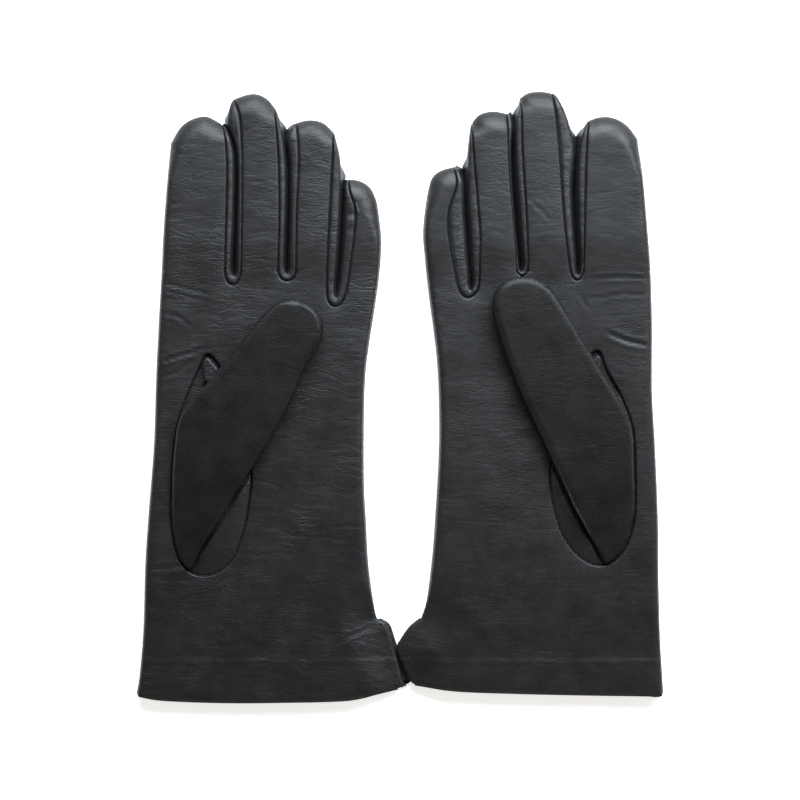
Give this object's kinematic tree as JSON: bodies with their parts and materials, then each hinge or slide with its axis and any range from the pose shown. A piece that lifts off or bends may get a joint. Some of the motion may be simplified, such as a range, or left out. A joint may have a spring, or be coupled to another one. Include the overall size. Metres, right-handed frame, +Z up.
{
  "type": "pair of leather gloves",
  "caption": "Pair of lined leather dress gloves lying palm up, with sewn finger strips, set-in thumbs and vented cuffs; fingers curl and thumbs lift.",
  "frame": {"origin": "centre of the pair's outline on the surface that the gloves lie on", "axes": "+X from the left-hand glove to the right-hand glove, +Y from the cuffs to the fingertips, +Z up through the palms, which face up"},
  "size_m": [0.2112, 0.2445, 0.0186],
  "materials": {
    "glove_leather": "fine-grained smooth leather, soft sheen",
    "strip_leather": "fine-grained smooth leather, soft sheen",
    "lining_knit": "fine brushed knit, matt",
    "sewing_thread": "twisted thread, matt"
  },
  "bodies": {
    "left_palm": {"left_trank": "glove_leather", "left_hem": "glove_leather", "left_hand_lining": "lining_knit", "left_slit_webs": "strip_leather", "left_thumb_root": "glove_leather", "left_thumb_quirk": "strip_leather", "left_vent_facing": "glove_leather", "left_side_seam": "sewing_thread", "left_oval_seam": "sewing_thread", "left_vent_stitching": "sewing_thread"},
    "left_index": {"left_index_leather": "glove_leather", "left_index_fourchettes": "strip_leather", "left_index_lining": "lining_knit", "left_index_seams": "sewing_thread"},
    "left_middle": {"left_middle_leather": "glove_leather", "left_middle_fourchettes": "strip_leather", "left_middle_lining": "lining_knit", "left_middle_seams": "sewing_thread"},
    "left_ring": {"left_ring_leather": "glove_leather", "left_ring_fourchettes": "strip_leather", "left_ring_lining": "lining_knit", "left_ring_seams": "sewing_thread"},
    "left_little": {"left_little_leather": "glove_leather", "left_little_fourchettes": "strip_leather", "left_little_lining": "lining_knit", "left_little_seams": "sewing_thread"},
    "left_thumb": {"left_thumb_leather": "glove_leather", "left_thumb_lining": "lining_knit", "left_thumb_seam": "sewing_thread"},
    "right_palm": {"right_trank": "glove_leather", "right_hem": "glove_leather", "right_hand_lining": "lining_knit", "right_slit_webs": "strip_leather", "right_thumb_root": "glove_leather", "right_thumb_quirk": "strip_leather", "right_vent_facing": "glove_leather", "right_side_seam": "sewing_thread", "right_oval_seam": "sewing_thread", "right_vent_stitching": "sewing_thread"},
    "right_index": {"right_index_leather": "glove_leather", "right_index_fourchettes": "strip_leather", "right_index_lining": "lining_knit", "right_index_seams": "sewing_thread"},
    "right_middle": {"right_middle_leather": "glove_leather", "right_middle_fourchettes": "strip_leather", "right_middle_lining": "lining_knit", "right_middle_seams": "sewing_thread"},
    "right_ring": {"right_ring_leather": "glove_leather", "right_ring_fourchettes": "strip_leather", "right_ring_lining": "lining_knit", "right_ring_seams": "sewing_thread"},
    "right_little": {"right_little_leather": "glove_leather", "right_little_fourchettes": "strip_leather", "right_little_lining": "lining_knit", "right_little_seams": "sewing_thread"},
    "right_thumb": {"right_thumb_leather": "glove_leather", "right_thumb_lining": "lining_knit", "right_thumb_seam": "sewing_thread"}
  },
  "joints": [
    {"name": "gloves_apart", "type": "slide", "parent": "left_palm", "child": "right_palm", "axis": [1, 0, 0], "range_m": [0, 0.06]},
    {"name": "left_index_curl", "type": "hinge", "parent": "left_palm", "child": "left_index", "pos_m": [-0.0813, 0.054, 0.0098], "axis": [1, 0, 0], "range_deg": [0, 80]},
    {"name": "left_middle_curl", "type": "hinge", "parent": "left_palm", "child": "left_middle", "pos_m": [-0.0556, 0.054, 0.0098], "axis": [1, 0, 0], "range_deg": [0, 80]},
    {"name": "left_ring_curl", "type": "hinge", "parent": "left_palm", "child": "left_ring", "pos_m": [-0.0347, 0.054, 0.0098], "axis": [1, 0, 0], "range_deg": [0, 80]},
    {"name": "left_little_curl", "type": "hinge", "parent": "left_palm", "child": "left_little", "pos_m": [-0.0162, 0.046, 0.0098], "axis": [1, 0, 0], "range_deg": [0, 80]},
    {"name": "right_index_curl", "type": "hinge", "parent": "right_palm", "child": "right_index", "pos_m": [0.0861, 0.054, 0.0098], "axis": [1, 0, 0], "range_deg": [0, 80]},
    {"name": "right_middle_curl", "type": "hinge", "parent": "right_palm", "child": "right_middle", "pos_m": [0.0598, 0.054, 0.0098], "axis": [1, 0, 0], "range_deg": [0, 80]},
    {"name": "right_ring_curl", "type": "hinge", "parent": "right_palm", "child": "right_ring", "pos_m": [0.0379, 0.054, 0.0098], "axis": [1, 0, 0], "range_deg": [0, 80]},
    {"name": "right_little_curl", "type": "hinge", "parent": "right_palm", "child": "right_little", "pos_m": [0.0189, 0.049, 0.0098], "axis": [1, 0, 0], "range_deg": [0, 80]},
    {"name": "left_thumb_lift", "type": "hinge", "parent": "left_palm", "child": "left_thumb", "pos_m": [-0.0916, -0.03, 0.0096], "axis": [0, -1, 0], "range_deg": [0, 75]},
    {"name": "right_thumb_lift", "type": "hinge", "parent": "right_palm", "child": "right_thumb", "pos_m": [0.0942, -0.03, 0.0096], "axis": [0, 1, 0], "range_deg": [0, 75]}
  ]
}
